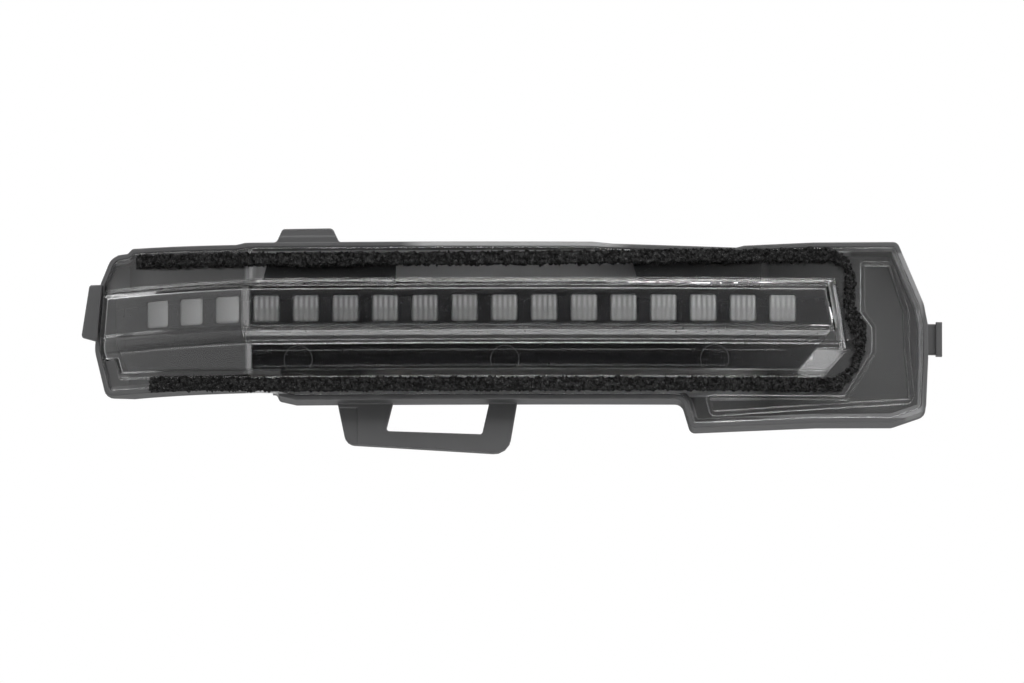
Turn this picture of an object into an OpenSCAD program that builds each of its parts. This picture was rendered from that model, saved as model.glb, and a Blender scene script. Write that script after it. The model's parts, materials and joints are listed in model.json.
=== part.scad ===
// Side repeater lamp for a door mirror.
// X runs along the lamp, Z is up, and the lens faces -Y. The origin is on the rear seating
// plane of the two screw bosses, at the height of the row of windows.

/* [Lens curve] */
// Radius of the long, nearly straight run of the lens front
front_r = 900; // [700:10:1500]
// Place of the foremost point of that run along X
crest_x = 13; // [8:0.5:18]
// Place of the crease where the long run meets the wrapped end
crease_x = -67; // [-68:0.2:-66]
// Turn of the lens front at the crease
crease_turn = 18.9; // [18.5:0.1:19.3]
// Width of the narrow flat that takes the sharpness off the crease
crease_w = 2; // [1.6:0.1:2.4]
// Radius of the wrapped end
wrap_r = 110; // [106:1:114]

/* [Body] */
// Depth from the foremost point of the lens back to the seating plane
seat_depth = 27; // [26:0.5:32]
// Reach of the body to the left of the origin
left_reach = 105; // [103:0.2:107]
// Reach of the body to the right of the origin
right_reach = 104; // [103:0.2:107]
// Height of the upper edge above the windows' centre line
top_edge = 16.8; // [16.4:0.1:18]
// Depth of the lower edge below the windows' centre line
low_edge = 22.8; // [22.6:0.1:24]
// Depth of the lower edge of the right-hand pocket
pocket_edge = 28.4; // [27:0.2:31]
// Depth of the lower edge of the wrapped end
wrap_edge = 20.2; // [20:0.1:21]
// Depth of the housing's rear face behind the lens front
housing_depth = 19; // [18:0.2:20]
// Depth of the rear face of the wrapped end
wrap_depth = 13.8; // [13.6:0.1:14.4]
// Depth of the wrapped end's rear edge behind the lens front at its tip
wrap_end_depth = 9.4; // [8.6:0.1:10]
// Thickness of the housing's floor
floor_t = 2; // [1.6:0.1:2.2]
// Thickness of the housing's side wall
side_wall = 2.4; // [2.2:0.1:2.8]
// Width of the outer part of that wall, which frames the lens
rim_w = 1.2; // [1:0.1:1.4]

/* [Lens] */
// Wall of the clear lens
lens_wall = 1.6; // [1.3:0.05:1.7]
// Depth of the flange that carries the foam
flange_depth = 5; // [4.8:0.1:5.4]
// Depth of the lower shelf
shelf_depth = 3; // [2.8:0.1:3.1]
// Height of the raised band above the windows' centre line
band_top = 5.9; // [5.7:0.1:6.1]
// Depth of the raised band below it
band_low = 4.9; // [4.8:0.1:5.1]
// Lower edge of the shelf
shelf_low = 16.9; // [16.7:0.05:17]
// Depth of the floor of the lens's right-hand pocket
pocket_depth = 7; // [6.6:0.1:7.6]
// Wall of that pocket
pocket_wall = 1; // [0.8:0.05:1.1]

/* [Windows and light] */
// Side of a window
window = 6.8; // [6.4:0.1:7]
// Radius of a window's corners
window_r = 0.8; // [0.4:0.1:1.2]
// Distance from window to window along the lens
pitch = 9.95; // [9.6:0.05:10.2]
// Place of the last window on the right
last_window_x = 67.8; // [66:0.2:69]
// Number of windows on the long run
long_count = 14; // [8:1:14]
// Number of windows on the wrapped end
wrap_count = 3; // [1:1:3]
// Distance from window to window round the wrapped end
wrap_pitch = 10.4; // [10:0.1:10.6]
// Angle of the first window on the wrapped end
wrap_first = 27.2; // [27:0.1:27.4]
// Vertical flutes on each diffuser pad
flutes = 5; // [3:1:6]
// Depth of the bezel's front behind the lens front
bezel_depth = 3; // [2.8:0.05:3.1]
// Thickness of the bezel
bezel_t = 1.4; // [1.2:0.1:1.5]
// Depth of the rear edge of the bezel's light channel
channel_depth = 8.4; // [8:0.1:8.5]
// Size of a light emitting chip along the board
led_w = 3.5; // [2.8:0.1:3.8]
// Size of the chip up the board
led_h = 2.8; // [2.4:0.1:3.2]
// Thickness of the chip
led_t = 0.9; // [0.6:0.1:1.2]

/* [Boards] */
// Thickness of a circuit board
board_t = 1.2; // [1:0.1:1.3]
// Depth of the main board's front face behind the foremost point
board_depth = 13; // [12.8:0.1:13.4]
// Height of the main board above the centre line
board_top = 7; // [6:0.5:9]
// Depth of the main board below the centre line
board_low = 12; // [11:0.5:13]
// Depth of the end board's front face
end_board_depth = 9.6; // [9.5:0.05:9.7]
// Length of the end board
end_board_w = 25; // [24:0.5:25.5]
// Radius of a board screw's shank
screw_r = 1.1; // [1:0.05:1.25]
// Radius of a board screw's head
head_r = 2.5; // [2.2:0.1:3]
// Height of a board screw's head
head_h = 1.5; // [1.2:0.1:1.8]

/* [Fixings] */
// Place of the left screw boss
boss_left = -46; // [-50:1:-42]
// Place of the right screw boss
boss_right = 62; // [58:1:66]
// Radius of a screw boss
boss_r = 4; // [3.6:0.1:4.5]
// Radius of its blind bore
bore_r = 1.6; // [1.4:0.1:2]
// Length of its blind bore
bore_len = 6; // [5:0.2:6.4]
// Drop of the snap loop below the lower edge
loop_drop = 12.8; // [11:0.2:14]
// Thickness of the snap loop
loop_t = 4; // [3.4:0.1:4.4]
// Thickness of the tabs and the end tongue
tab_t = 2.5; // [2:0.1:3]

/* [Connector] */
// Centre of the connector socket along X
socket_x = 22; // [18:1:26]
// Inner width of the socket
socket_w = 16; // [15:0.5:18]
// Inner height of the socket
socket_h = 8; // [7:0.5:9]
// Wall of the socket
socket_wall = 1.5; // [1.2:0.1:2]
// Length of the socket behind the housing
socket_len = 14; // [12:0.5:16]
// Width of a square terminal pin
pin_w = 1; // [0.8:0.1:1.2]
// Distance between the two pins
pin_pitch = 8; // [7:0.2:9]

/* [Foam gasket] */
// Thickness of the foam strip
foam_t = 3.6; // [3:0.1:4]
// Width of the foam strip
foam_w = 3.7; // [3.4:0.05:3.9]

/* [Hidden] */
fit = 0.1;
sweep_fn = 720;
corner_steps = 4;
reach = 400;
deep = 50;
flange_back = flange_depth + lens_wall;
wrap_step = wrap_pitch / (wrap_r - bezel_depth) * 180 / PI;
main_step = pitch / (front_r - bezel_depth) * 180 / PI;
main_c = [crest_x, front_r - seat_depth];
crease_start = asin((crest_x - crease_x) / front_r);
wrap_start = crease_start + crease_turn;
crease_mid = crease_start + crease_turn / 2;
crease_point = main_c - front_r * [sin(crease_start), cos(crease_start)];
wrap_c = crease_point + wrap_r * [sin(wrap_start), cos(wrap_start)];

function led_count() = long_count + wrap_count;
function led_name(i) = str("led_", i < 10 ? "0" : "", i);

// Points of an outline given as [x, z, corner radius]
function rounded(p) = [for (i = [0 : len(p) - 1]) each corner(
    p[(i + len(p) - 1) % len(p)], p[i], p[(i + 1) % len(p)])];
function unit(v) = v / norm(v);
function flat(p) = [p[0], p[1]];
function corner(a, b, c) = b[2] == 0 ? [flat(b)] : fillet(
    flat(b), unit(flat(a) - flat(b)), unit(flat(c) - flat(b)), b[2]);
function fillet(b, u, v, r) = let (
    half = acos(u * v) / 2,
    m = b + unit(u + v) * r / sin(half),
    s = b + u * r / tan(half) - m,
    e = b + v * r / tan(half) - m
) [for (i = [0 : corner_steps]) m + r * unit(s * (1 - i / corner_steps) + e * i / corner_steps)];

// Shift of the long run's front behind its foremost point
function drop(x) = front_r - sqrt(pow(front_r, 2) - pow(x - crest_x, 2));
function depth_y(d) = d - seat_depth;
function wrap_y(x) = wrap_c[1] - sqrt(pow(wrap_r, 2) - pow(x - wrap_c[0], 2));

// Everything behind a section in depth and height, which follows the lens curve round
module behind() {
    intersection() {
        turn(main_c, front_r, 12, 22) children();
        union() {
            turn(wrap_c, wrap_r, 88, 100) children();
            translate([wrap_c[0], -reach, -reach]) cube(2 * reach);
        }
        union() {
            crease_flat() children();
            translate([crease_x + 2 * crease_w, -reach, -reach]) cube(2 * reach);
        }
    }
}

// The section swept straight along the narrow flat at the crease
module crease_flat() {
    translate(crease_point) rotate([0, 0, -crease_mid])
        translate([-reach / 2, crease_w / 2 * tan(crease_turn / 2), 0])
            rotate([90, 0, 90]) linear_extrude(reach) children();
}

// One arc of the curve, from an angle on its left
module turn(c, r, left, angle) {
    translate([c[0], c[1], 0]) rotate_extrude(start = 270 - left, angle = angle, $fn = sweep_fn)
        translate([r, 0]) mirror([1, 0]) children();
}

module from_depth(d, extra = 0) {
    behind() translate([d, -60]) square([deep + extra - d, 120]);
}

module slab(from, to) {
    difference() {
        intersection() {
            from_depth(from);
            children();
        }
        from_depth(to, 5);
    }
}

// A front outline in X and Z, carried through the whole depth
module column() {
    rotate([90, 0, 0]) linear_extrude(120, center = true) children();
}

module front(points) {
    column() polygon(points);
}

module block_front(left, right, low, high) {
    translate([left, -60, low]) cube([right - left, 120, high - low]);
}

// Frame on the long run at x, or on the wrapped end at an angle: -Y is outwards
module on_run(angle) {
    translate(main_c) rotate([0, 0, angle]) translate([0, -front_r, 0]) children();
}
module on_wrap(angle) {
    translate(wrap_c) rotate([0, 0, -angle]) translate([0, -wrap_r, 0]) children();
}
function run_angle(x) = asin((x - crest_x) / front_r);
function window_angle(i) = run_angle(last_window_x) - i * main_step;
module windows_at(run = true, wrap = true) {
    if (run) for (i = [0 : long_count - 1]) on_run(window_angle(i)) children();
    if (wrap) for (i = [0 : wrap_count - 1]) on_wrap(wrap_first + i * wrap_step) children();
}

body_outline = rounded([
    [-left_reach + 1.4, top_edge - 7.4, 3], [-left_reach + 4, top_edge - 1.4, 3],
    [-left_reach + 6, top_edge - 0.5, 0], [-left_reach + 8.4, top_edge - 0.4, 0],
    [-left_reach + 9.6, top_edge + 0.7, 1], [-69.2, top_edge - 0.3, 0],
    [-67, top_edge + 0.1, 0], [-20, top_edge + 0.1, 0], [20, top_edge, 0],
    [25, top_edge - 0.5, 0], [56.1, top_edge - 1.4, 0], [58, top_edge - 0.9, 0],
    [75.4, top_edge, 0], [right_reach - 7.6, top_edge + 0.3, 1.6],
    [right_reach - 1, 1.6, 6], [right_reach, -3.5, 4], [right_reach + 0.1, -12, 0],
    [right_reach - 0.5, -pocket_edge + 3, 2.5], [right_reach - 9, -pocket_edge, 3],
    [76, -pocket_edge - 0.2, 0], [44.6, -pocket_edge - 1.7, 1.6],
    [42.4, -low_edge, 2.2], [-54, -low_edge, 1], [-58.3, -low_edge + 1, 1],
    [-59, -wrap_edge, 0.8], [-left_reach + 2.9, -wrap_edge + 1.2, 2.6],
    [-left_reach, -7, 8]
]);

pocket_outline = rounded([
    [87.2, top_edge - 4.6, 0.8], [right_reach - 9, top_edge - 4.6, 1.5],
    [right_reach - 5, 0.4, 2], [right_reach - 4.7, -9.4, 0], [right_reach - 3.4, -pocket_edge + 5.2, 2],
    [49.6, -pocket_edge + 1.6, 1.2], [48.2, -low_edge + 1.1, 1],
    [83.2, -low_edge + 1.1, 0], [90, -10.5, 0], [90, -4.4, 0], [87.2, -0.6, 0]
]);

band_end = [[79.3, band_top], [81.7, -band_low - 3.6]];
shelf_end = [[77.6, -8.5], [72, -shelf_low]];
wrap_rise = 1.7;
function shelf_outline(lap) = [
    [-left_reach + 3.2, -band_low + lap], [-left_reach + 6.4, -shelf_low + wrap_rise],
    [crease_x + 2, -shelf_low], [crease_x + 6, -shelf_low - 0.2], [110, -shelf_low - 0.2],
    [110, -band_low + lap]
];

// Section of the raised band, from its rear edge round the front to the shelf. The lap below
// it and above the shelf keeps the two hollows open to each other.
function band_section(lap) = [
    [deep, band_top + 1.7], [flange_depth, band_top + 1.7], [0.7, band_top + 0.4],
    [0, band_top - 0.3], [0, -band_low], [0.4, -band_low - 0.4], [1, -band_low - 0.8],
    [shelf_depth - 0.4, -band_low - 3.1], [shelf_depth, -band_low - 3.8],
    [shelf_depth, -band_low - 5 - lap], [deep, -band_low - 5 - lap]
];
function shelf_section(lap) = [
    [deep, -band_low - 3 + lap], [shelf_depth, -band_low - 3 + lap], [shelf_depth, -shelf_low + 0.5],
    [shelf_depth + 0.5, -shelf_low], [deep, -shelf_low]
];

// Everything to the right of a line in X and Z at a depth, leaning outwards further back
module beyond(line, depth, lean, inset = 0) {
    tilt = atan2(line[1][0] - line[0][0], line[0][1] - line[1][1]);
    translate([line[0][0], depth_y(depth) + drop(line[0][0]), line[0][1]])
        rotate([0, -tilt, 0]) rotate([0, 0, -lean])
            translate([-inset, -reach / 2, -reach / 2]) cube(reach);
}

module band_body(inset = 0) {
    difference() {
        intersection() {
            behind() offset(delta = -inset) polygon(band_section(inset));
            column() offset(delta = -rim_w - fit - inset) polygon(body_outline);
        }
        beyond(band_end, 0, 20, inset);
    }
}

module shelf_body(inset = 0) {
    difference() {
        intersection() {
            behind() offset(delta = -inset) polygon(shelf_section(inset));
            column() offset(delta = -inset) polygon(shelf_outline(inset));
        }
        beyond(shelf_end, shelf_depth, 68, inset);
    }
}

module outer_lens() color([0.9, 0.92, 0.94, 0.4]) difference() {
    union() {
        difference() {
            union() {
                intersection() {
                    from_depth(flange_depth);
                    column() offset(delta = -rim_w - fit) polygon(body_outline);
                }
                band_body();
                shelf_body();
            }
            from_depth(flange_back, 5);
        }
        slab(flange_depth, pocket_depth + pocket_wall) front(pocket_outline);
    }
    band_body(lens_wall);
    shelf_body(lens_wall);
    slab(flange_depth - 1, pocket_depth) column() offset(delta = -pocket_wall) polygon(pocket_outline);
}

// Left of x
module left_of(x) {
    translate([x - reach, -reach / 2, -reach / 2]) cube(reach);
}
module behind_y(y) {
    translate([-reach / 2, y, -reach / 2]) cube(reach);
}
module rod(x, z, y, r, length) {
    translate([x, y, z]) rotate([90, 0, 0]) cylinder(r = r, h = length, $fn = 64);
}

// The tray's solid back: the long run, and the shallower wrapped end with its flat rear
module rear_limit(floor = 0) {
    from_depth(housing_depth - floor, 5);
    intersection() {
        from_depth(wrap_depth - floor, 5);
        left_of(step_x + (floor > 0 ? floor_t : 0));
    }
    intersection() {
        behind_y(wrap_back - floor);
        left_of(step_x);
    }
}

module tray() {
    difference() {
        intersection() {
            from_depth(flange_depth + 2 * fit);
            front(body_outline);
        }
        rear_limit();
        difference() {
            column() offset(delta = -side_wall) polygon(body_outline);
            rear_limit(floor_t);
        }
        difference() {
            column() offset(delta = -rim_w) polygon(body_outline);
            from_depth(flange_back + fit);
        }
    }
}

module snap_loop() {
    slab(loop_depth, loop_depth + loop_t) difference() {
        front(loop_outline);
        front(loop_window);
        intersection() {
            left_of(loop_step_x);
            block_front(-reach / 2, reach / 2, -2 * loop_drop - low_edge, -low_edge - loop_root);
            difference() {
                from_depth(loop_depth - 1);
                from_depth(loop_depth + loop_step, 5);
            }
        }
    }
}

module tabs() {
    slab(top_tab_depth + lip_step, top_tab_depth + tab_t) front(top_tab);
    slab(top_tab_depth, top_tab_depth + tab_t) intersection() {
        front(top_tab);
        block_front(-reach / 2, reach / 2, 0, top_edge + lip_z);
    }
    translate([0, tongue_y + tab_t, 0]) rotate([90, 0, 0]) linear_extrude(tab_t) polygon(end_tongue);
    slab(right_tab_depth, right_tab_depth + tab_t)
        block_front(right_reach - 1, right_reach + right_tab_len,
            right_tab_z - right_tab_h / 2, right_tab_z + right_tab_h / 2);
    slab(right_tab_depth - barb_h, right_tab_depth + tab_t)
        block_front(right_reach + right_tab_len - barb_t, right_reach + right_tab_len,
            right_tab_z - right_tab_h / 2 - barb_over, right_tab_z + right_tab_h / 2 + barb_over);
}

module socket_block(extra, from, to) {
    translate([socket_x - socket_w / 2 - extra, from, socket_z - socket_h / 2 - extra])
        cube([socket_w + 2 * extra, to - from, socket_h + 2 * extra]);
}

module rear_housing() color([0.36, 0.36, 0.37]) difference() {
    union() {
        tray();
        snap_loop();
        tabs();
        for (x = boss_x) rod(x, boss_z, 0, boss_r, seat_depth - housing_depth + floor_t / 2 - drop(x));
        rod(0, 0, 0, boss_r, seat_depth - housing_depth + floor_t / 2);
        for (x = screw_x)
            rod(x, screw_z, rear_y(x) - floor_t / 2, post_r, rear_y(x) - floor_t / 2 - board_back);
        socket_block(socket_wall, rear_y(socket_x) - floor_t / 2, socket_end);
        for (z = rib_z) slab(housing_depth - floor_t / 2, housing_depth + rib_h)
            block_front(step_x + 2, 84, z, z + rib_t);
    }
    for (x = boss_x) rod(x, boss_z, fit, bore_r, bore_len + fit);
    for (x = screw_x) rod(x, screw_z, board_back + screw_grip, screw_r + fit / 2, screw_grip + fit);
    socket_block(0, rear_y(socket_x + socket_w / 2) + fit, socket_end + fit);
    for (x = pin_x) translate([x - pin_w / 2 - fit, board_back, socket_z - pin_w / 2 - fit])
        cube([pin_w + 2 * fit, -board_back + fit, pin_w + 2 * fit]);
    on_run(run_angle(vent_x)) rod(0, vent_z, housing_depth + 1, vent_hole_r, floor_t + 2);
}

module inner_bezel() color([0.1, 0.1, 0.105]) difference() {
    intersection() {
        union() {
            difference() {
                behind() polygon(bezel_section);
                behind() polygon(bezel_back);
            }
            for (t = tongues) slab(tongue_depth, tongue_depth + bezel_t) front(t);
            for (r = shelf_ribs) slab(bezel_shelf - shelf_rib_h, bezel_shelf + bezel_t / 2)
                block_front(crease_x + 3, r[0], r[1], r[1] + r[2]);
        }
        front(bezel_outline);
    }
    windows_at() window_cut(8);
    on_wrap(blank_angle) window_cut(bezel_depth + blank_sink, blank_w, blank_h);
}

module window_cut(depth, w = window, h = window, r = window_r) {
    translate([0, depth, 0]) rotate([90, 0, 0]) linear_extrude(depth)
        offset(r = r, $fn = 24) square([w - 2 * r, h - 2 * r], center = true);
}

// Plan of flats that touch a circle at evenly stepped angles, from one end to the other
function spoke(c, side, r, angle) = c + r * [side * sin(angle), -cos(angle)];
function flats(c, side, r, start, step, count, end) = concat(
    [spoke(c, side, r / cos(end), start - end)],
    [for (i = [1 : count - 1]) spoke(c, side, r / cos(step / 2), start + (i - 0.5) * step)],
    [spoke(c, side, r / cos(step / 2), start + (count - 0.5) * step)]
);
function backwards(p) = [for (i = [len(p) - 1 : -1 : 0]) p[i]];

// The bar behind the windows
module backing(c, side, r, start, step, count, end) {
    translate([0, 0, -strip_h]) linear_extrude(2 * strip_h) polygon(concat(
        flats(c, side, r, start, step, count, end),
        backwards(flats(c, side, r - backing_t, start, step, count, end))));
}

// A pad that stands in a window, with upright flutes on its face
module pad(fluted = true) {
    intersection() {
        window_cut(bezel_back_depth + fit + pad_lap, pad_w, pad_w);
        translate([0, bezel_depth + pad_recess, -strip_h]) linear_extrude(2 * strip_h) polygon(concat(
            [[pad_w / 2 + 1, bezel_t + 1], [-pad_w / 2 - 1, bezel_t + 1]],
            fluted ? flute_points : [[-pad_w / 2 - 1, 0], [pad_w / 2 + 1, 0]]));
    }
}

module diffuser_strip() color([0.78, 0.79, 0.8]) {
    backing(main_c, 1, front_r - bezel_back_depth - fit, window_angle(long_count - 1), main_step,
        long_count, main_end);
    windows_at(wrap = false) pad();
}
module end_diffuser() color([0.82, 0.83, 0.84]) {
    backing(wrap_c, -1, wrap_r - bezel_back_depth - 2 * fit, wrap_first, wrap_step, wrap_count, wrap_end);
    windows_at(run = false) pad(false);
}

module main_board() color([0.12, 0.3, 0.2]) difference() {
    translate([board_left, board_front, -board_low])
        cube([board_right - board_left, board_t, board_top + board_low]);
    for (x = screw_x) rod(x, screw_z, board_back + fit, screw_r + 0.3, board_t + 2 * fit);
}

module end_board() color([0.12, 0.3, 0.2]) on_wrap(end_board_angle)
    translate([-end_board_w / 2, end_board_depth, -end_board_h / 2])
        cube([end_board_w, board_t, end_board_h]);

function wrap_point(x, d) = wrap_c + [
    x * cos(end_board_angle) + (d - wrap_r) * sin(end_board_angle),
    -x * sin(end_board_angle) + (d - wrap_r) * cos(end_board_angle)
];
module board_link() color([0.75, 0.45, 0.15]) translate([0, 0, -link_h / 2])
    linear_extrude(link_h) polygon([
        wrap_point(end_board_w / 2 - link_lap, end_board_back), wrap_point(end_board_w / 2, end_board_back),
        [board_left, board_back], [board_left + link_foot, board_back],
        [board_left + link_foot, board_back + link_t], [board_left, board_back + link_t],
        wrap_point(end_board_w / 2, end_board_back + link_t),
        wrap_point(end_board_w / 2 - link_lap, end_board_back + link_t)
    ]);

module led(i) color([0.9, 0.86, 0.6]) {
    if (i <= long_count) translate([led_x(i), board_front - led_t, -led_h / 2])
        translate([-led_w / 2, 0, 0]) cube([led_w, led_t, led_h]);
    else on_wrap(end_board_angle)
        translate([wrap_led_x(i) - led_w / 2, end_board_depth - led_t, -led_h / 2])
            cube([led_w, led_t, led_h]);
}
function led_x(i) = crest_x + (front_r - board_depth) * sin(window_angle(i - 1));
function wrap_led_x(i) = (wrap_r - end_board_depth)
    * tan(end_board_angle - wrap_first - (i - long_count - 1) * wrap_step);

module foam_gasket() color([0.08, 0.08, 0.08]) difference() {
    slab(flange_depth - foam_t, flange_depth) front(foam_outer);
    front(foam_inner);
}

module terminal_pin(x) color([0.8, 0.66, 0.3]) translate([x - pin_w / 2, board_back, socket_z - pin_w / 2])
    cube([pin_w, socket_end - pin_set - board_back, pin_w]);

module chip(x, z, w, h, t) {
    translate([x - w / 2, board_front - t, z - h / 2]) cube([w, t, h]);
}
module driver_chip() color([0.06, 0.06, 0.07]) chip(driver_x, chips_z, 6, 4, 1.4);
module input_capacitor() color([0.55, 0.42, 0.28]) chip(capacitor_x, chips_z, 3.2, 2.5, 1.6);
module resistor(i) color([0.1, 0.1, 0.12]) chip(resistor_x + i * resistor_pitch, chips_z, 3.2, 1.6, 0.6);

module board_screw(x) color([0.7, 0.7, 0.72]) {
    rod(x, screw_z, board_front, head_r, head_h);
    rod(x, screw_z, board_back + screw_in, screw_r, screw_in + board_t + head_h / 2);
}

module vent_patch() color([0.85, 0.85, 0.85])
    on_run(run_angle(vent_x)) rod(0, vent_z, housing_depth + fit + 0.3, vent_r, 0.3);

boss_x = [boss_left, boss_right];
boss_z = 3;
screw_x = [boss_left - 6, boss_right + 8];
screw_z = -8.5;
screw_grip = 3;
screw_in = screw_grip - 0.5;
post_r = 2.8;
step_x = -60;
loop_depth = 14.5;
loop_step_x = -38.8;
loop_step = 0.4;
loop_root = 1;
top_tab_depth = 8;
lip_step = 0.5;
lip_z = 1.9;
right_tab_depth = 13.5;
right_tab_len = 3.7;
right_tab_h = 7.6;
right_tab_z = -6.4;
barb_h = 1.2;
barb_t = 1.6;
barb_over = 0.4;
tongue_set = 6.7;
tongue_y = wrap_y(-left_reach + 2) + tongue_set;
wrap_back = wrap_y(-left_reach) + wrap_end_depth;
rib_z = [13, -18];
rib_t = 1.2;
rib_h = 2.4;
vent_x = -16;
vent_z = 3;
vent_r = 4.5;
vent_hole_r = 1.5;
board_front = board_depth - seat_depth;
board_back = board_front + board_t;
board_left = -63.6;
board_right = 75;
end_board_angle = wrap_first + (wrap_count - 1) / 2 * wrap_step;
end_board_h = 10;
end_board_back = end_board_depth + board_t;
link_t = 0.4;
link_h = 6;
link_lap = 4;
link_foot = 5;
chips_z = -8.5;
driver_x = 10;
capacitor_x = 24;
resistor_x = -34;
resistor_pitch = 8;
socket_z = -6;
function rear_y(x) = depth_y(housing_depth) + drop(x);
socket_end = rear_y(socket_x) + socket_len;
pin_set = 4;
pin_x = [socket_x - pin_pitch / 2, socket_x + pin_pitch / 2];
backing_t = 0.9;
bezel_back_depth = bezel_depth + bezel_t;
bezel_shelf = shelf_depth + lens_wall + 0.6;
pad_w = window - 2 * fit;
strip_h = 4;
pad_lap = 0.3;
pad_recess = 0.2;
flute_steps = 4;
flute_rise = 0.35;
wrap_end = 1.9;
main_end = 0.27;
blank_angle = wrap_first + wrap_count * wrap_step + 0.8;
blank_w = 9;
blank_h = 12;
blank_sink = 0.5;
shelf_rib_h = 0.35;
tongue_depth = flange_back + 0.5;

bezel_section = [
    [deep, 5], [bezel_depth, 5], [bezel_depth, -5], [bezel_shelf, -7.7],
    [bezel_shelf, -shelf_low + lens_wall + 0.2], [deep, -shelf_low + lens_wall + 0.2]
];
bezel_back = [
    [channel_depth, 6], [channel_depth, 4.2], [bezel_back_depth, 4.2], [bezel_back_depth, -4.2],
    [channel_depth, -4.2], [channel_depth, -5.6], [bezel_back_depth + 0.6, -5.6],
    [bezel_shelf + bezel_t, -8.2],
    [bezel_shelf + bezel_t, -shelf_low - 2], [deep + 5, -shelf_low - 2], [deep + 5, 6]
];
bezel_outline = [
    [-left_reach + 6, 12], [77.8, 12], [77.8, 5.9], [79.4, -5.5], [77, -8.3], [72, -15.8],
    [crease_x + 2, -shelf_low + lens_wall + 0.3],
    [-left_reach + 9, -shelf_low + lens_wall + wrap_rise + 0.4],
    [-left_reach + 6, -6]
];
tongues = [
    [[-63.4, 4.4], [-61.4, 11.4], [-29.1, 11.4], [-29.1, 4.4]],
    [[32, 4.4], [30.1, 11.8], [62.4, 11.8], [62.4, 4.4]]
];
shelf_ribs = [[69, -11.1, 0.75], [53, -14.7, 0.4]];
flute_points = [for (i = [0 : flutes - 1]) each [for (j = [0 : flute_steps])
    [(-0.5 + (i + j / flute_steps) / flutes) * pad_w, flute_rise * (1 - sin(180 * j / flute_steps))]]];
loop_outline = rounded([
    [-44, -low_edge + 1.2, 0], [-41.6, -low_edge - loop_drop + 2.6, 2.8],
    [-1, -low_edge - loop_drop, 4.2], [1.4, -low_edge + 1.2, 0]
]);
loop_window = rounded([
    [-29.9, -low_edge, 0], [-31.7, -low_edge - loop_drop + 5.8, 0.7],
    [-7.6, -low_edge - loop_drop + 4.9, 0.7], [-5.8, -low_edge, 0]
]);
top_tab = rounded([
    [-61.5, top_edge - 1, 0], [-58.9, top_edge + 0.8, 1.4], [-57.6, top_edge + 3.8, 1],
    [-45, top_edge + 3.9, 1.2], [-43.6, top_edge + 0.8, 1.4], [-41.6, top_edge - 1, 0]
]);
end_tongue = rounded([
    [-left_reach + 1.9, 9.2, 0], [-left_reach - 1.3, 9.1, 0.7],
    [-left_reach - 3.3, -3.9, 0.7], [-left_reach + 0.7, -5, 0]
]);
foam_outer = [
    [-94.5, 15.6], [-72, 14.5], [-53, 14.1], [0, 14.3], [66, 15.1], [78.8, 15.3], [82.4, 14.2],
    [84.8, 11.8], [86, 8], [86.1, -0.4], [88.6, -3.4], [88.9, -6.4], [88.3, -11.2], [86.6, -15.3],
    [82.2, -21], [0, -21], [-64, -20.9], [-91.1, -19.3], [-91.1, 0], [-94.5, 1]
];
foam_inner = [
    [-110, 15.6 - foam_w], [-94.5, 15.6 - foam_w], [-72, 14.5 - foam_w], [-53, 14.1 - foam_w],
    [0, 14.3 - foam_w], [66, 15.1 - foam_w], [80.2, 15.3 - foam_w], [83.3, 9.6], [82.8, 1.6],
    [83.4, -2.2], [85, -7], [85.5, -11.2], [84.2, -14.6], [80.4, -21 + foam_w], [0, -21 + foam_w],
    [-64, -20.9 + foam_w], [-91.1, -19.3 + foam_w], [-110, -19.3 + foam_w]
];

outer_lens();
rear_housing();
inner_bezel();
diffuser_strip();
end_diffuser();
main_board();
end_board();
board_link();
foam_gasket();
for (i = [1 : led_count()]) led(i);
terminal_pin(pin_x[0]);  // terminal_pin_1
terminal_pin(pin_x[1]);  // terminal_pin_2
driver_chip();
input_capacitor();
for (i = [1 : 4]) resistor(i);
board_screw(screw_x[0]);  // board_screw_1
board_screw(screw_x[1]);  // board_screw_2
vent_patch();
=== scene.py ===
import json
import math
from typing import NamedTuple

import bmesh
import bpy
from mathutils import Matrix, Vector, noise


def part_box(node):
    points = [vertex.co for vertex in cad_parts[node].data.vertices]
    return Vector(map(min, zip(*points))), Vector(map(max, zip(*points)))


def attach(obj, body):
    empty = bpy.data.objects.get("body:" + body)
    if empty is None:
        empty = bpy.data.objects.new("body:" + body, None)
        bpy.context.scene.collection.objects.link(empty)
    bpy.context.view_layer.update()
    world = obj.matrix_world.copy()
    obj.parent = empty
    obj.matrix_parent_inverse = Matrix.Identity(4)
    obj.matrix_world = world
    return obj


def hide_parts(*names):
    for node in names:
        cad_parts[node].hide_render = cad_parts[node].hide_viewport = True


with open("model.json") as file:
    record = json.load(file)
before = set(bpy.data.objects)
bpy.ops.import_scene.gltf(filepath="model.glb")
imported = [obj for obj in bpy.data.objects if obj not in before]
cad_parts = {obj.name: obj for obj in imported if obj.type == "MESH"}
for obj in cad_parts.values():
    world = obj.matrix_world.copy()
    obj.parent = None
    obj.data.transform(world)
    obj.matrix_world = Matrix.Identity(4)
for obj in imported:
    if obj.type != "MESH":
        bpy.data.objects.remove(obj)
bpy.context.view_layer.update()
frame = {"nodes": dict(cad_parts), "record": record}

bl_info = {
    "name": "Side repeater lamp",
    "version": (1, 0, 0),
    "blender": (4, 5, 0),
    "location": "View3D > Sidebar > Lamp",
    "description": "Dresses a side repeater lamp: clear lens, dark bezel, grey housing and foam seal",
    "category": "Object",
}

MM = 0.001

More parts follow.
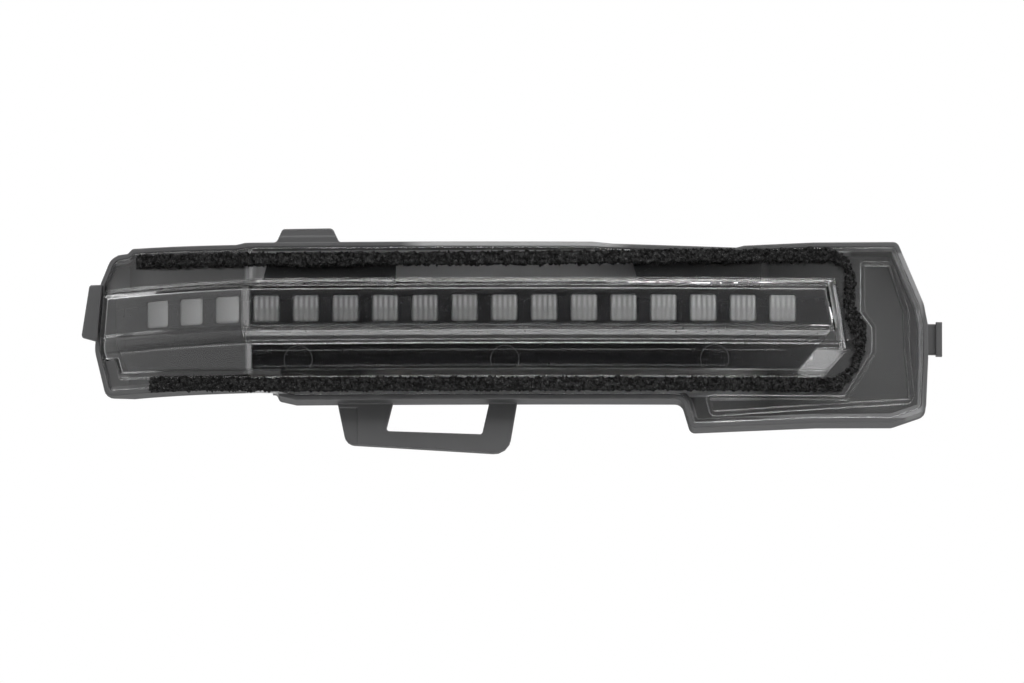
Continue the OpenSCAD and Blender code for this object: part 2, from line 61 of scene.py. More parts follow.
# Places on the lamp: x to the right, y to the back and z up
BAND_END_X = (80 * MM, 82.3 * MM)
BAND_END_Y = -21.8 * MM
BAND_END_Z = (-9 * MM, 6 * MM)
BAND_END_SLOPE = 0.167
# The tray and pocket places bound the painted light on the housing's inside
TRAY_X = (-66 * MM, 84 * MM)
TRAY_Y = (-20.5 * MM, -9 * MM)
TRAY_Z = (-21 * MM, 14.6 * MM)
POCKET_X = (46 * MM, 102 * MM)
POCKET_Z = (-27 * MM, 14.2 * MM)
# The lip places bound a painted highlight on the housing's upper lip
LIP_X = (-22 * MM, 24 * MM)
LIP_Y = (-20.6 * MM, -20 * MM)
LIP_Z = (15.3 * MM, 15.6 * MM)
BEZEL_CREASE_Z = (-6 * MM, -5 * MM)
BEZEL_RISE_Z = (-4 * MM, 4 * MM)
# Bounds of painted light on the pads: the highlight above the middle, the ramp of light to the right,
# and the fade on the end's pads
PADS_HIGHLIGHT_Z = (0.8 * MM, 2.2 * MM)
PADS_LIGHT_RAMP_X = (-20 * MM, 50 * MM)
END_PADS_FADE_Z = (1 * MM, 5 * MM)

# Places in millimetres: the left sides of the end's pads, and each ejector mark's x and z
END_PADS = (-91.5, -83.5, -74.5)
END_PAD_RAMP = 5
END_PAD_WIDTH = 7
MARKS = ((-53.6, -12.9), (-1.9, -13.0), (50.6, -12.8))
SHELF_CREST = 13
SHELF_RADIUS = 900
LENS_FRONT = -27
SHELF_DEPTH = 3.0
MARK_WIRE = 0.04

# Mesh sizes
WELD = 0.001 * MM
LENS_SHARP = math.radians(7)
QUARTER = math.radians(90)

# Foam: lumps, pits and crumbs to a millimetre, and the share of a pit that is its wall
LUMPS = 0.7
PITS = 1.05
CRUMBS = 2.1
PIT_WALL = 0.3

# Stage, in metres
FLOOR_SIZE = 6
FLOOR_HEIGHT = -1.35
FLOOR_SEEN_WHITE = 0.75
CAMERA_LENS = 1000
CAMERA_SENSOR = 36
CAMERA_CLIP = (0.1, 100)
CAMERA_TARGET = (-0.0001, -0.027, -0.0089)


class SoftLamp(NamedTuple):
    """A lamp of the stage that faces the origin, in metres and watts."""
    name: str
    place: tuple
    width: float
    height: float
    power: float


class Patch(NamedTuple):
    """A patch of the sky. Turn to the right and rise are from, to and soft rim, in radians."""
    strength: float
    turn: tuple
    rise: tuple


LAMPS = (
    SoftLamp("under", (0.0, -0.26, -0.86), width=1.2, height=0.16, power=3.6),
    SoftLamp("side", (0.88, -1.13, -0.43), width=0.5, height=0.5, power=2.6),
)

# The sky's even light, two dark fields in it and bright strips. The rear field's turn is a ramp
# to either side
SKY_LEVEL = 0.62
DARK_FRONT = Patch(0.58, turn=(-0.28, 0.08, 0.13), rise=(-0.5, 0.16, 0.12))
DARK_REAR = Patch(0.5, turn=(2.3, 2.6), rise=(-0.4, 0.9, 0.15))
BRIGHT_STRIPS = {
    "above the front": Patch(9.5, turn=(-0.22, 0.26, 0.05), rise=(0.4, 0.78, 0.04)),
    "high on the left": Patch(2.5, turn=(-2.0, -0.7, 0.12), rise=(0.35, 0.8, 0.1)),
    "left of the front": Patch(1.5, turn=(-0.6, -0.38, 0.06), rise=(-0.1, 0.25, 0.1)),
    "behind the right": Patch(2.0, turn=(1.9, 2.7, 0.1), rise=(0.0, 0.6, 0.1)),
    "right": Patch(1.2, turn=(0.55, 1.6, 0.2), rise=(-0.3, 1.0, 0.1)),
}


# Node tools

class Value:
    """A socket in a node tree, with arithmetic that adds Math nodes."""

    def __init__(self, tree, socket):
        self.tree = tree
        self.socket = socket

    def joined(self, operation, items, clamp=False):
        made = self.tree.nodes.new("ShaderNodeMath")
        made.operation = operation
        made.use_clamp = clamp
        for slot, item in zip(made.inputs, items):
            connect(self.tree, slot, item)
        return Value(self.tree, made.outputs[0])

    def math(self, operation, *others, clamp=False):
        return self.joined(operation, (self,) + others, clamp)

    def flipped(self, operation, other):
        return self.joined(operation, (other, self))

    def __add__(self, other):
        return self.math("ADD", other)

    def __radd__(self, other):
        return self.flipped("ADD", other)

    def __sub__(self, other):
        return self.math("SUBTRACT", other)

    def __rsub__(self, other):
        return self.flipped("SUBTRACT", other)

    def __mul__(self, other):
        return self.math("MULTIPLY", other)

    def __rmul__(self, other):
        return self.flipped("MULTIPLY", other)

    def __truediv__(self, other):
        return self.math("DIVIDE", other)

    def __lt__(self, other):
        return self.math("LESS_THAN", other)

    def clamped(self):
        """The value, held from 0 to 1."""
        return self.math("ADD", 0.0, clamp=True)

    def between(self, low, high):
        """0 below low, 1 above high, and a straight ramp from one to the other."""
        return ((self - low) / (high - low)).clamped()

    def within(self, low, high, soft):
        """1 from low to high, with a soft ramp outside either end."""
        return self.between(low - soft, low) * (1 - self.between(high, high + soft))


def connect(tree, slot, item):
    """Puts a value or a link into a socket."""
    if isinstance(item, Value):
        tree.links.new(item.socket, slot)
    elif slot.type == "RGBA" and len(item) == 3:
        slot.default_value = (*item, 1)
    else:
        slot.default_value = item


class Nodes:
    """The nodes of one material or of the world, made one by one."""

    def __init__(self, owner):
        owner.use_nodes = True
        self.tree = owner.node_tree
        self.tree.nodes.clear()

    def node(self, kind, settings=None, out=0, **sockets):
        """Adds a node and returns one of its outputs, or the node where out is None."""
        made = self.tree.nodes.new("ShaderNode" + kind)
        for key, item in (settings or {}).items():
            setattr(made, key, item)
        for key, item in sockets.items():
            name = key.replace("_", " ")
            slot = next(s for s in made.inputs if s.name == name and s.enabled)
            connect(self.tree, slot, item)
        if out is None:
            return made
        return Value(self.tree, made.outputs[out])

    def split(self, vector):
        """The three coordinates of a vector, each a value of its own."""
        made = self.node("SeparateXYZ", out=None, Vector=vector)
        return [Value(self.tree, made.outputs[k]) for k in range(3)]


class Finish(Nodes):
    """One material, whose patterns lie on the piece's own coordinates."""

    def __init__(self, name):
        self.material = bpy.data.materials.new(name)
        super().__init__(self.material)
        self.place = self.node("TexCoord", out="Object")

    def axes(self):
        """The place's x, y and z."""
        return self.split(self.place)

    def noise(self, scale, detail=3.0, rough=0.5, stretch=(1, 1, 1)):
        """Soft clouds or grain, with scale cells to a metre."""
        place = self.node("Mapping", Vector=self.place, Scale=stretch)
        return self.node("TexNoise", Vector=place, Scale=scale, Detail=detail, Roughness=rough)

    def cells(self, scale, feature, stretch):
        """The distance in a pattern of cells, with scale cells to a metre."""
        place = self.node("Mapping", Vector=self.place, Scale=stretch)
        settings = {"feature": feature}
        return self.node("TexVoronoi", settings, out="Distance", Vector=place, Scale=scale)

    def blend(self, factor, first, second):
        """The first colour at 0 and the second at 1."""
        made = self.node("Mix", {"data_type": "RGBA"}, out=None)
        colours = [s for s in made.inputs if s.type == "RGBA"]
        connect(self.tree, made.inputs["Factor"], factor)
        connect(self.tree, colours[0], first)
        connect(self.tree, colours[1], second)
        return Value(self.tree, next(s for s in made.outputs if s.type == "RGBA"))

    def soft_edge(self, radius, samples=6):
        """The surface's direction with its edges rounded over."""
        return self.node("Bevel", {"samples": samples}, Radius=radius)

    def edge_mask(self, radius):
        """1 on an edge and 0 on a flat."""
        along = self.node("VectorMath", {"operation": "DOT_PRODUCT"}, out=None)
        connect(self.tree, along.inputs[0], self.soft_edge(radius))
        connect(self.tree, along.inputs[1], self.node("NewGeometry", out="Normal"))
        return (1 - Value(self.tree, along.outputs["Value"])).between(0.01, 0.2)

    def bump(self, height, strength, distance, normal=None):
        """Relief on top of a direction, or on the surface's own."""
        sockets = {"Height": height, "Strength": strength, "Distance": distance}
        if normal is not None:
            sockets["Normal"] = normal
        return self.node("Bump", **sockets)

    def surface(self, colour, roughness, normal=None, **constants):
        """One surface shader. Constants go on its own sockets."""
        sockets = {"Base_Color": colour, "Roughness": roughness, **constants}
        if normal is not None:
            sockets["Normal"] = normal
        return self.node("BsdfPrincipled", **sockets)

    def end(self, shader):
        """Ends the material in a shader."""
        self.node("OutputMaterial", out=None, Surface=shader)
        return self.material

    def close(self, colour, roughness, normal=None, **constants):
        """Ends the material in one surface shader."""
        return self.end(self.surface(colour, roughness, normal, **constants))


def shaded(colour, share):
    """A colour made darker, or paler, by a share."""
    return tuple(share * c for c in colour)


# Finishes

def clear_plastic():
    """The lens: clear and a little hazy, with the end of its band ground."""
    acrylic = 1.49
    look = bpy.context.scene.lamp_lens
    f = Finish("clear_plastic")
    haze = f.noise(140, detail=4, rough=0.6)
    tint = (look.tint,) * 3
    colour = f.blend(haze, tint, shaded(tint, 0.98))
    normal = f.soft_edge(look.edge, samples=12)
    rough = 0.01 + haze * 0.03 + 0.4 * band_end(f)
    return f.close(colour, rough, normal, Transmission_Weight=1.0, IOR=acrylic)


def band_end(f):
    """1 on the ground end of the raised band and 0 elsewhere."""
    x, y, z = f.axes()
    leaning = x + z * BAND_END_SLOPE
    across = leaning.within(*BAND_END_X, soft=0.2 * MM)
    upright = z.within(*BAND_END_Z, soft=MM)
    return across * upright * (y < BAND_END_Y)


def moulded_grey():
    """The housing: a fine grain, painted highlights on its edges and on the upper lip's front edge,
    and painted light on the tray's shaded inside.
    """
    look = bpy.context.scene.lamp_housing
    f = Finish("moulded_grey")
    grain = f.noise(2600, detail=4, rough=0.6)
    cloud = f.noise(45, rough=0.55)
    base = f.blend(cloud, shaded(look.colour, 0.88), shaded(look.colour, 1.1))
    # Painted light: the tray's shaded inside behind the lens blends to a far paler colour
    base = f.blend(painted_light_inside(f), base, look.inside)
    # Painted highlight: the upper lip's front edge blends to a paler colour
    base = f.blend(painted_lip_highlight(f), base, look.lip)
    # Painted highlight: the edges blend towards twice the housing's colour
    colour = f.blend(f.edge_mask(look.rim) * 0.55, base, shaded(look.colour, 2.0))
    normal = f.bump(grain, 0.12, 0.04 * MM, f.soft_edge(look.edge))
    return f.close(colour, 0.3 + cloud * 0.12 + grain * 0.06, normal)


def painted_light_inside(f):
    """1 on the tray's shaded inside behind the flange, and less in the pocket at the broad end. Where
    it is 1, light is painted in as a far paler colour.
    """
    x, y, z = f.axes()
    depth = y.within(*TRAY_Y, soft=0.5 * MM)
    row = x.within(*TRAY_X, soft=MM) * z.within(*TRAY_Z, soft=0.3 * MM)
    pocket = x.within(*POCKET_X, soft=MM) * z.within(*POCKET_Z, soft=0.3 * MM)
    return depth * row.math("MAXIMUM", 0.28 * pocket)


def painted_lip_highlight(f):
    """1 on the upper lip's front edge, where a highlight is painted, and 0 elsewhere."""
    x, y, z = f.axes()
    front = 1 - y.between(*LIP_Y)
    return x.within(*LIP_X, soft=6 * MM) * z.between(*LIP_Z) * front


def gloss_black():
    """The bezel: polished, with a little dust, and less shiny round the windows."""
    look = bpy.context.scene.lamp_bezel
    dusty = (0.06, 0.06, 0.062)
    f = Finish("gloss_black")
    cloud = f.noise(70)
    dust = f.noise(1500, detail=2).between(0.62, 0.8)
    z = f.axes()[2]
    satin = 0.6 * z.between(*BEZEL_CREASE_Z) + 0.4 * z.between(*BEZEL_RISE_Z)
    colour = f.blend(dust * 0.35, look.colour, dusty)
    normal = f.bump(cloud, 0.04, 0.2 * MM, f.soft_edge(0.25 * MM))
    return f.close(colour, 0.07 + cloud * 0.04 + dust * 0.1 + satin * look.satin, normal)


def fluted_pads():
    """The long run's pads: painted highlights on the flute crowns and just above the middle, painted
    shade in the grooves, and painted light that makes them paler to the right.
    """
    look = bpy.context.scene.lamp_windows
    f = Finish("fluted_pad")
    cloud = f.noise(150, detail=2)
    x, _, z = f.axes()
    ribs = flute_light(x)
    painted_highlight = z.within(*PADS_HIGHLIGHT_Z, soft=1.2 * MM)
    paler = x.between(*PADS_LIGHT_RAMP_X)
    shade = 0.06 * ribs + 0.4 * painted_highlight * ribs + 0.1 * cloud + 0.46 * paler
    # Painted light: the pads blend from a shaded copy of their colour to a lit copy
    colour = f.blend(shade.clamped(), shaded(look.colour, 0.55), shaded(look.colour, 1.5))
    return frosted(f, colour)


def flute_light(x):
    """Painted light on the long run's flutes: 1 on the crown of each flute, where a highlight is
    painted, and 0 in the groove, where shade is painted.
    """
    look = bpy.context.scene.lamp_windows
    angle = ((x - look.crest) / look.radius).math("ARCSINE")
    last = math.asin((look.last - look.crest) / look.radius)
    step = look.pitch / look.radius
    place = ((last - angle) / step + 0.5).math("FRACT") - 0.5
    return (place * (math.tau * look.pitch / look.flute)).math("COSINE") * 0.5 + 0.5


def end_pads():
    """The wrapped end's pads: painted light makes each paler to its right and in its lower part."""
    look = bpy.context.scene.lamp_windows
    f = Finish("frosted_pad")
    x, _, z = f.axes()
    ramps = [x.between(at * MM, (at + END_PAD_RAMP) * MM) for at in END_PADS]
    ends = [x < (at + END_PAD_WIDTH) * MM for at in END_PADS]
    painted_highlight = sum(ramp * end for ramp, end in zip(ramps, ends))
    lower = 1 - z.between(*END_PADS_FADE_Z)
    shade = painted_highlight * (0.35 + 0.65 * lower)
    # Painted light: each pad blends from a shaded copy of its colour to its own colour
    colour = f.blend(shade.clamped(), shaded(look.colour, 0.55), look.colour)
    return frosted(f, colour)


def frosted(f, colour):
    """Ends a pad's material in a frosted surface."""
    frost = f.noise(3200, rough=0.6)
    edge = f.soft_edge(bpy.context.scene.lamp_windows.edge)
    return f.close(colour, 0.42 + frost * 0.2, f.bump(frost, 0.1, 0.05 * MM, edge))


def ring_plastic_and_highlight():
    """The raised rings of the ejector marks on the bezel, far paler than the bezel's black as a
    painted highlight on their ridges.
    """
    f = Finish("mark_black")
    cloud = f.noise(900, detail=2)
    # Painted highlight: the rings are coloured far paler than the bezel's black so they show as light
    # lines
    colour = f.blend(cloud, (0.07, 0.07, 0.07), (0.11, 0.11, 0.11))
    return f.close(colour, 0.2 + cloud * 0.1)


def solder_mask():
    """The boards: white, with the tracks under the coat."""
    coat = (0.68, 0.68, 0.66)
    track = (0.56, 0.56, 0.54)
    f = Finish("solder_mask")
    weave = f.node("TexWave", Vector=f.place, Scale=900.0, Distortion=0.4)
    tracks = f.cells(260, "DISTANCE_TO_EDGE", stretch=(1, 1, 3)).between(0.02, 0.06)
    colour = f.blend(tracks, coat, track)
    return f.close(colour, 0.3 + tracks * 0.15, f.bump(weave, 0.1, 0.04 * MM))


def link_film():
    """The flat link: amber film over copper lines."""
    film = (0.5, 0.22, 0.05)
    copper = (0.62, 0.36, 0.12)
    f = Finish("link_film")
    lines = f.node("TexWave", {"bands_direction": "Z"}, Vector=f.place, Scale=420.0)
    colour = f.blend(lines.between(0.4, 0.6), film, copper)
    return f.close(colour, 0.3 + lines * 0.1, f.bump(lines, 0.1, 0.03 * MM))


def seal_foam():
    """The foam: its own colour on the crumbs, painted shade that makes the pits between them nearly
    black, and a few bright grains as painted glints.
    """
    look = bpy.context.scene.lamp_seal
    # Painted shade: the nearly black colour of the pits
    cell = (0.002, 0.002, 0.002)
    f = Finish("seal_foam")
    crumbs = f.noise(1100, detail=2, rough=0.6).between(0.42, 0.6)
    grit_and_glints = f.noise(2600, detail=4, rough=0.7)
    colour = f.blend(crumbs, cell, look.colour)
    # Painted glints: a few grains at six times the foam's colour
    colour = f.blend(grit_and_glints.between(0.55, 0.66) * crumbs, colour, shaded(look.colour, 6.0))
    normal = f.bump(crumbs + grit_and_glints * 0.6, 0.8, 0.3 * MM)
    return f.close(colour, 0.5 + grit_and_glints * 0.4, normal, Specular_IOR_Level=0.12)


def speckled(name, scale, dark, pale, rough):
    """The dull case of a small part, with scale specks to a metre."""
    f = Finish(name)
    speck = f.noise(scale)
    normal = f.bump(speck, 0.2, 0.03 * MM, f.soft_edge(0.1 * MM))
    return f.close(f.blend(speck, dark, pale), rough + speck * 0.2, normal)


def chip_case():
    """The driver and the resistors: black."""
    return speckled("chip_case", 2400, (0.02, 0.02, 0.021), (0.035, 0.035, 0.036), 0.45)


def fired_clay():
    """The capacitor: tan."""
    return speckled("fired_clay", 1900, (0.33, 0.22, 0.12), (0.46, 0.33, 0.2), 0.5)


def light_chip():
    """The light chips: yellow, with paler patches."""
    yellow = (0.75, 0.62, 0.25)
    pale = (0.82, 0.78, 0.62)
    f = Finish("light_chip")
    patch = f.noise(900, detail=2)
    colour = f.blend(patch.between(0.4, 0.6), yellow, pale)
    return f.close(colour, 0.3 + patch * 0.2, f.soft_edge(0.2 * MM))


def plated(name, colour, rough):
    """A plated metal, with the fine lines of its drawing along y."""
    f = Finish(name)
    drag = f.noise(500, rough=0.6, stretch=(1, 0.1, 1))
    shade = f.blend(drag, shaded(colour, 0.85), colour)
    return f.close(shade, rough + drag * 0.15, f.soft_edge(0.1 * MM), Metallic=1.0)


def breather_film():
    """The vent patch: white felted film."""
    low = (0.55, 0.55, 0.56)
    high = (0.72, 0.72, 0.73)
    f = Finish("breather_film")
    weave = f.noise(2600, detail=4, rough=0.7)
    return f.close(f.blend(weave, low, high), 0.7 + weave * 0.2, f.bump(weave, 0.4, 0.04 * MM))


# Mesh tools

def smooth(data):
    """Shades all faces of a mesh smoothly."""
    for face in data.polygons:
        face.use_smooth = True


def finished(mesh, name, material, sharp=35):
    """Turns a bmesh into a piece of the lamp that rides on its body."""
    data = bpy.data.meshes.new(name)
    mesh.normal_update()
    mesh.to_mesh(data)
    mesh.free()
    data.materials.append(material)
    smooth(data)
    data.set_sharp_from_angle(angle=math.radians(sharp))
    piece = bpy.data.objects.new(name, data)
    bpy.context.scene.collection.objects.link(piece)
    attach(piece, "root")
    return piece


def node_copy(node):
    """A merged copy of a CAD node's mesh."""
    mesh = bmesh.new()
    mesh.from_mesh(frame["nodes"][node].data)
    bmesh.ops.remove_doubles(mesh, verts=mesh.verts, dist=WELD)
    return mesh


def dress(node, material):
    """Gives a CAD node its finish."""
    piece = frame["nodes"][node]
    piece.data.materials.clear()
    piece.data.materials.append(material)


def torn(place):
    """How far torn foam stands out at a place in millimetres, as a share of the crumble."""
    lumps = noise.noise(place * LUMPS, noise_basis="PERLIN_ORIGINAL")
    near = noise.voronoi(place * PITS)[0]
    pits = min(near[1] - near[0], PIT_WALL) / PIT_WALL
    crumbs = noise.noise(place * CRUMBS, noise_basis="PERLIN_ORIGINAL")
    return 0.8 * lumps + 0.9 * (pits - 0.8) + 0.6 * crumbs


# Sizes and colours

def colour_property(name, text, default):
    return bpy.props.FloatVectorProperty(name=name, description=text, subtype="COLOR", size=3,
                                         min=0, max=1, default=default)


def length_property(name, text, default):
    return bpy.props.FloatProperty(name=name, description=text, unit="LENGTH", min=0,
                                   precision=5, default=default)


def share_property(name, text, default):
    return bpy.props.FloatProperty(name=name, description=text, min=0, max=1, default=default)


class LensSizes(bpy.types.PropertyGroup):
    """The clear lens."""
    tint: share_property("Tint", "Brightness of the clear plastic", 0.985)
    edge: length_property("Edge", "Radius of the softened edges", 0.6 * MM)
    ring: length_property("Ring", "Radius of a round mark on the shelf", 3.55 * MM)


class HousingSizes(bpy.types.PropertyGroup):
    """The grey housing."""
    colour: colour_property("Colour", "Colour of the moulded housing", (0.041, 0.041, 0.042))
    edge: length_property("Edge", "Radius of the softened edges", 0.5 * MM)
    # The rim is the width of the painted highlight on the housing's edges
    rim: length_property("Rim", "Width of the paler edges", 0.55 * MM)
    # Painted light: the inside colour stands in for the light that reaches the tray behind the lens
    inside: colour_property("Inside", "Colour of the tray's paler inside", (0.42, 0.42, 0.425))
    # Painted highlight: the colour of the upper lip's front edge
    lip: colour_property("Lip", "Colour of the upper lip's paler front edge", (0.24, 0.24, 0.24))


class BezelSizes(bpy.types.PropertyGroup):
    """The black bezel."""
    colour: colour_property("Colour", "Colour of the polished bezel", (0.008, 0.008, 0.009))
    satin: share_property("Satin", "Added roughness of the strip round the windows", 0.2)


class WindowSizes(bpy.types.PropertyGroup):
    """The light windows."""
    colour: colour_property("Colour", "Colour of the frosted pads", (0.27, 0.27, 0.27))
    edge: length_property("Edge", "Radius over which the flutes are smoothed", 1.0 * MM)
    crest: length_property("Crest", "Place of the foremost point of the row", 13 * MM)
    radius: length_property("Radius", "Radius of the row of pads", 897 * MM)
    last: length_property("Last", "Place of the last pad", 67.8 * MM)
    pitch: length_property("Pitch", "Distance from pad to pad", 9.95 * MM)
    flute: length_property("Flute", "Width of one flute", 1.32 * MM)


class SealSizes(bpy.types.PropertyGroup):
    """The foam seal."""
    colour: colour_property("Colour", "Colour of the foam", (0.019, 0.019, 0.019))
    cell: length_property("Cell", "Size of a cell of the foam", 0.36 * MM)
    crumble: length_property("Crumble", "Depth of the torn surface", 0.95 * MM)
    shrink: length_property("Shrink", "How far the torn sides lie inside the cut ones", 0.4 * MM)


class StageSizes(bpy.types.PropertyGroup):
    """The floor, the lights and the camera."""
    floor: colour_property("Floor", "Colour of the floor", (0.4, 0.4, 0.4))
    lamps: bpy.props.FloatProperty(name="Lamps", description="Strength of all lamps together",
                                   min=0, default=1.0)
    distance: length_property("Distance", "From the camera to the lamp", 7.111)
    tilt: bpy.props.FloatProperty(name="Tilt", description="Angle from which the camera looks up",
                                  subtype="ANGLE", default=math.radians(6))


# Pieces

class LAMP_OT_seal(bpy.types.Operator):
    """Makes the crumbly strip of open-celled foam round the lens"""
    bl_idname = "lamp.seal"
    bl_label = "Foam seal"

    def execute(self, context):
        look = context.scene.lamp_seal
        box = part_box("foam_gasket")
        piece = finished(node_copy("foam_gasket"), "foam_seal", seal_foam())
        context.view_layer.objects.active = piece
        remesh = piece.modifiers.new("cells", "REMESH")
        remesh.mode = "VOXEL"
        remesh.voxel_size = look.cell
        bpy.ops.object.modifier_apply(modifier=remesh.name)
        self.tear(piece.data, look, box)
        smooth(piece.data)
        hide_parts("foam_gasket")
        return {"FINISHED"}

    def tear(self, data, look, box):
        """Crumbles the foam's surface, draws its sides in and keeps it in the CAD piece's box."""
        low, high = box
        mesh = bmesh.new()
        mesh.from_mesh(data)
        mesh.normal_update()
        for v in mesh.verts:
            depth = look.crumble * torn(v.co / MM)
            side = Vector((v.normal.x, 0, v.normal.z))
            v.co += v.normal * depth - side * look.shrink
            for k in range(3):
                v.co[k] = min(max(v.co[k], low[k]), high[k])
        mesh.to_mesh(data)
        mesh.free()


class LAMP_OT_lens(bpy.types.Operator):
    """Gives the one-piece lens its clear plastic"""
    bl_idname = "lamp.lens"
    bl_label = "Clear lens"

    def execute(self, context):
        dress("outer_lens", clear_plastic())
        piece = frame["nodes"]["outer_lens"]
        # The mesh is loose triangles. Welded and smooth, its curves bend the view without facets
        smooth(piece.data)
        weld = piece.modifiers.new("weld", "WELD")
        weld.merge_threshold = WELD
        # Split where the faces turn more than on any curve, its edges stay crisp
        split = piece.modifiers.new("sharp_edges", "EDGE_SPLIT")
        split.split_angle = LENS_SHARP
        return {"FINISHED"}


class LAMP_OT_marks(bpy.types.Operator):
    """Makes the fine round ejector marks on the bezel's shelf"""
    bl_idname = "lamp.marks"
    bl_label = "Ejector marks"

    def execute(self, context):
        look = context.scene.lamp_lens
        mesh = bmesh.new()
        for x, z in MARKS:
            ring = self.ring(look.ring)
            ring.transform(self.seat(x, z))
            part = bpy.data.meshes.new("ring")
            ring.to_mesh(part)
            ring.free()
            mesh.from_mesh(part)
            bpy.data.meshes.remove(part)
        bmesh.ops.recalc_face_normals(mesh, faces=mesh.faces)
        finished(mesh, "ejector_marks", ring_plastic_and_highlight(), sharp=180)
        return {"FINISHED"}

    def ring(self, radius):
        """A thin ring round z."""
        ring = bmesh.new()
        place = Matrix.Translation((radius, 0, 0)) @ Matrix.Rotation(QUARTER, 4, "X")
        bmesh.ops.create_circle(ring, segments=6, radius=MARK_WIRE * MM, matrix=place)
        bmesh.ops.spin(ring, geom=ring.verts[:] + ring.edges[:], cent=(0, 0, 0), axis=(0, 0, 1),
                       angle=math.tau, steps=64, use_merge=True)
        return ring

    def seat(self, x, z):
        """Stands a ring up on the curved shelf, at a place in millimetres."""
        across = x - SHELF_CREST
        slope = math.asin(across / SHELF_RADIUS)
        drop = SHELF_RADIUS - math.sqrt(SHELF_RADIUS ** 2 - across ** 2)
        turn = Matrix.Rotation(slope, 4, "Z") @ Matrix.Rotation(QUARTER, 4, "X")
        depth = drop + LENS_FRONT + SHELF_DEPTH
        return Matrix.Translation((x * MM, depth * MM, z * MM)) @ turn


class LAMP_OT_housing(bpy.types.Operator):
    """Gives the housing its moulded grey and its vent patch the white film"""
    bl_idname = "lamp.housing"
    bl_label = "Rear housing"

    def execute(self, context):
        dress("rear_housing", moulded_grey())
        dress("vent_patch", breather_film())
        return {"FINISHED"}


class LAMP_OT_bezel(bpy.types.Operator):
    """Gives the bezel its polished black and the windows their frosted pads"""
    bl_idname = "lamp.bezel"
    bl_label = "Bezel and windows"

    def execute(self, context):
        dress("inner_bezel", gloss_black())
        dress("diffuser_strip", fluted_pads())
        dress("end_diffuser", end_pads())
        return {"FINISHED"}


class LAMP_OT_boards(bpy.types.Operator):
    """Gives the boards and what they carry their finishes"""
    bl_idname = "lamp.boards"
    bl_label = "Boards and chips"

    def execute(self, context):
        brass = (0.78, 0.64, 0.36)
        steel = (0.62, 0.62, 0.63)
        finishes = {
            "circuit_board": solder_mask(),
            "link_film": link_film(),
            "led_body": light_chip(),
            "pin_metal": plated("tinned_brass", brass, 0.22),
            "screw_steel": plated("zinc_steel", steel, 0.3),
            "chip_black": chip_case(),
            "capacitor_tan": fired_clay(),
        }
        for entry in frame["record"]["subparts"]:
            if entry["material_slot"] in finishes:
                dress(entry["node"], finishes[entry["material_slot"]])
        return {"FINISHED"}


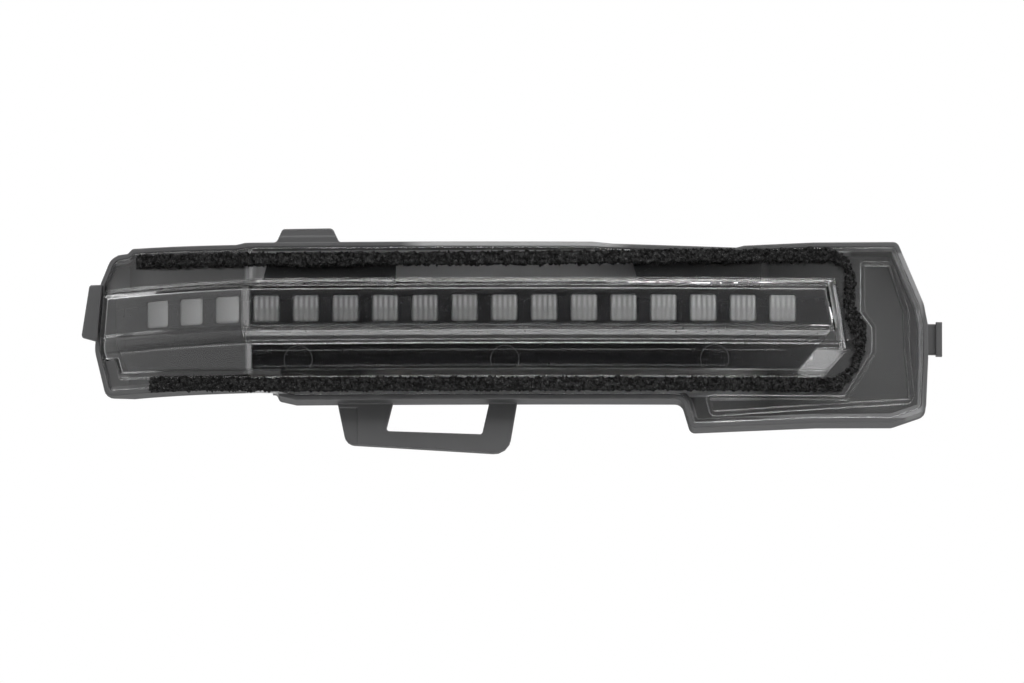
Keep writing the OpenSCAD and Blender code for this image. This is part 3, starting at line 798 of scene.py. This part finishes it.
class LAMP_OT_stage(bpy.types.Operator):
    """Lays the pale floor, sets the soft lamps and aims the camera"""
    bl_idname = "lamp.stage"
    bl_label = "Stage"

    def execute(self, context):
        scene = context.scene
        look = scene.lamp_stage
        scene.view_settings.view_transform = "Standard"
        floor = bmesh.new()
        bmesh.ops.create_grid(floor, x_segments=1, y_segments=1, size=FLOOR_SIZE,
                              matrix=Matrix.Translation((0, 0, FLOOR_HEIGHT)))
        data = bpy.data.meshes.new("floor")
        floor.to_mesh(data)
        floor.free()
        plate = bpy.data.objects.new("floor", data)
        scene.collection.objects.link(plate)
        data.materials.append(self.floor_finish(look.floor))
        self.sky(scene)
        for lamp in LAMPS:
            self.shine(scene, lamp, look.lamps)
        self.aim(scene, look)
        return {"FINISHED"}

    def floor_finish(self, colour):
        """The floor lights the lamp with its grey, and the camera sees it nearly white."""
        f = Finish("pale_floor")
        shade = f.noise(3, detail=2)
        surface = f.surface(f.blend(shade, colour, shaded(colour, 0.985)), 0.7 + shade * 0.1)
        white = f.node("Emission", Color=(1, 1, 1))
        seen = f.node("LightPath", out="Is Camera Ray") * FLOOR_SEEN_WHITE
        mixed = f.node("MixShader", out=None)
        for slot, item in zip(mixed.inputs, (seen, surface, white)):
            connect(f.tree, slot, item)
        return f.end(Value(f.tree, mixed.outputs[0]))

    def sky(self, scene):
        """The painted light that the lamp reflects, and plain white to the camera."""
        world = bpy.data.worlds.new("studio")
        scene.world = world
        studio = Nodes(world)
        side, back, up = studio.split(studio.node("TexCoord", out="Generated"))
        turn = side.math("ARCTAN2", 0 - back)
        rise = up.math("ARCSINE")
        front = turn.within(*DARK_FRONT.turn) * rise.within(*DARK_FRONT.rise)
        rear = turn.math("ABSOLUTE").between(*DARK_REAR.turn) * rise.within(*DARK_REAR.rise)
        bright = SKY_LEVEL - DARK_FRONT.strength * front - DARK_REAR.strength * rear
        for strip in BRIGHT_STRIPS.values():
            bright = bright + strip.strength * turn.within(*strip.turn) * rise.within(*strip.rise)
        straight = studio.node("LightPath", out="Is Camera Ray")
        seen = bright * (1 - straight) + straight
        shade = studio.node("Background", Color=(1, 1, 1), Strength=seen)
        studio.node("OutputWorld", out=None, Surface=shade)

    def shine(self, scene, lamp, strength):
        """Adds one soft lamp."""
        data = bpy.data.lights.new(lamp.name, "AREA")
        data.shape = "RECTANGLE"
        data.size = lamp.width
        data.size_y = lamp.height
        data.energy = lamp.power * strength
        made = bpy.data.objects.new(lamp.name, data)
        scene.collection.objects.link(made)
        made.location = lamp.place
        inwards = Vector((0, 0, 0)) - Vector(lamp.place)
        made.rotation_euler = inwards.to_track_quat("-Z", "Y").to_euler()

    def aim(self, scene, look):
        """Sets the camera far in front and a little below, with a long lens."""
        data = bpy.data.cameras.new("camera")
        data.lens = CAMERA_LENS
        data.sensor_width = CAMERA_SENSOR
        data.clip_start, data.clip_end = CAMERA_CLIP
        camera = bpy.data.objects.new("camera", data)
        scene.collection.objects.link(camera)
        back = Vector((0, -math.cos(look.tilt), -math.sin(look.tilt)))
        camera.location = Vector(CAMERA_TARGET) + back * look.distance
        camera.rotation_euler = (-back).to_track_quat("-Z", "Y").to_euler()
        scene.camera = camera


class LAMP_PT_panel(bpy.types.Panel):
    """Lists the lamp's pieces and their sizes"""
    bl_label = "Side repeater lamp"
    bl_space_type = "VIEW_3D"
    bl_region_type = "UI"
    bl_category = "Lamp"

    def draw(self, context):
        for group in GROUPS:
            box = self.layout.box()
            look = getattr(context.scene, group)
            for name in look.__annotations__:
                box.prop(look, name)
        for step in STEPS:
            self.layout.operator(step.bl_idname)


GROUPS = {
    "lamp_lens": LensSizes,
    "lamp_housing": HousingSizes,
    "lamp_bezel": BezelSizes,
    "lamp_windows": WindowSizes,
    "lamp_seal": SealSizes,
    "lamp_stage": StageSizes,
}
STEPS = (LAMP_OT_housing, LAMP_OT_bezel, LAMP_OT_boards, LAMP_OT_lens, LAMP_OT_marks, LAMP_OT_seal,
         LAMP_OT_stage)


def register():
    for name, group in GROUPS.items():
        bpy.utils.register_class(group)
        setattr(bpy.types.Scene, name, bpy.props.PointerProperty(type=group))
    for item in STEPS + (LAMP_PT_panel,):
        bpy.utils.register_class(item)


def unregister():
    for item in reversed(STEPS + (LAMP_PT_panel,)):
        bpy.utils.unregister_class(item)
    for name, group in GROUPS.items():
        delattr(bpy.types.Scene, name)
        bpy.utils.unregister_class(group)


def main():
    register()
    bpy.ops.lamp.housing()
    bpy.ops.lamp.bezel()
    bpy.ops.lamp.boards()
    bpy.ops.lamp.lens()
    bpy.ops.lamp.marks()
    bpy.ops.lamp.seal()
    bpy.ops.lamp.stage()


if __name__ == "__main__":
    main()
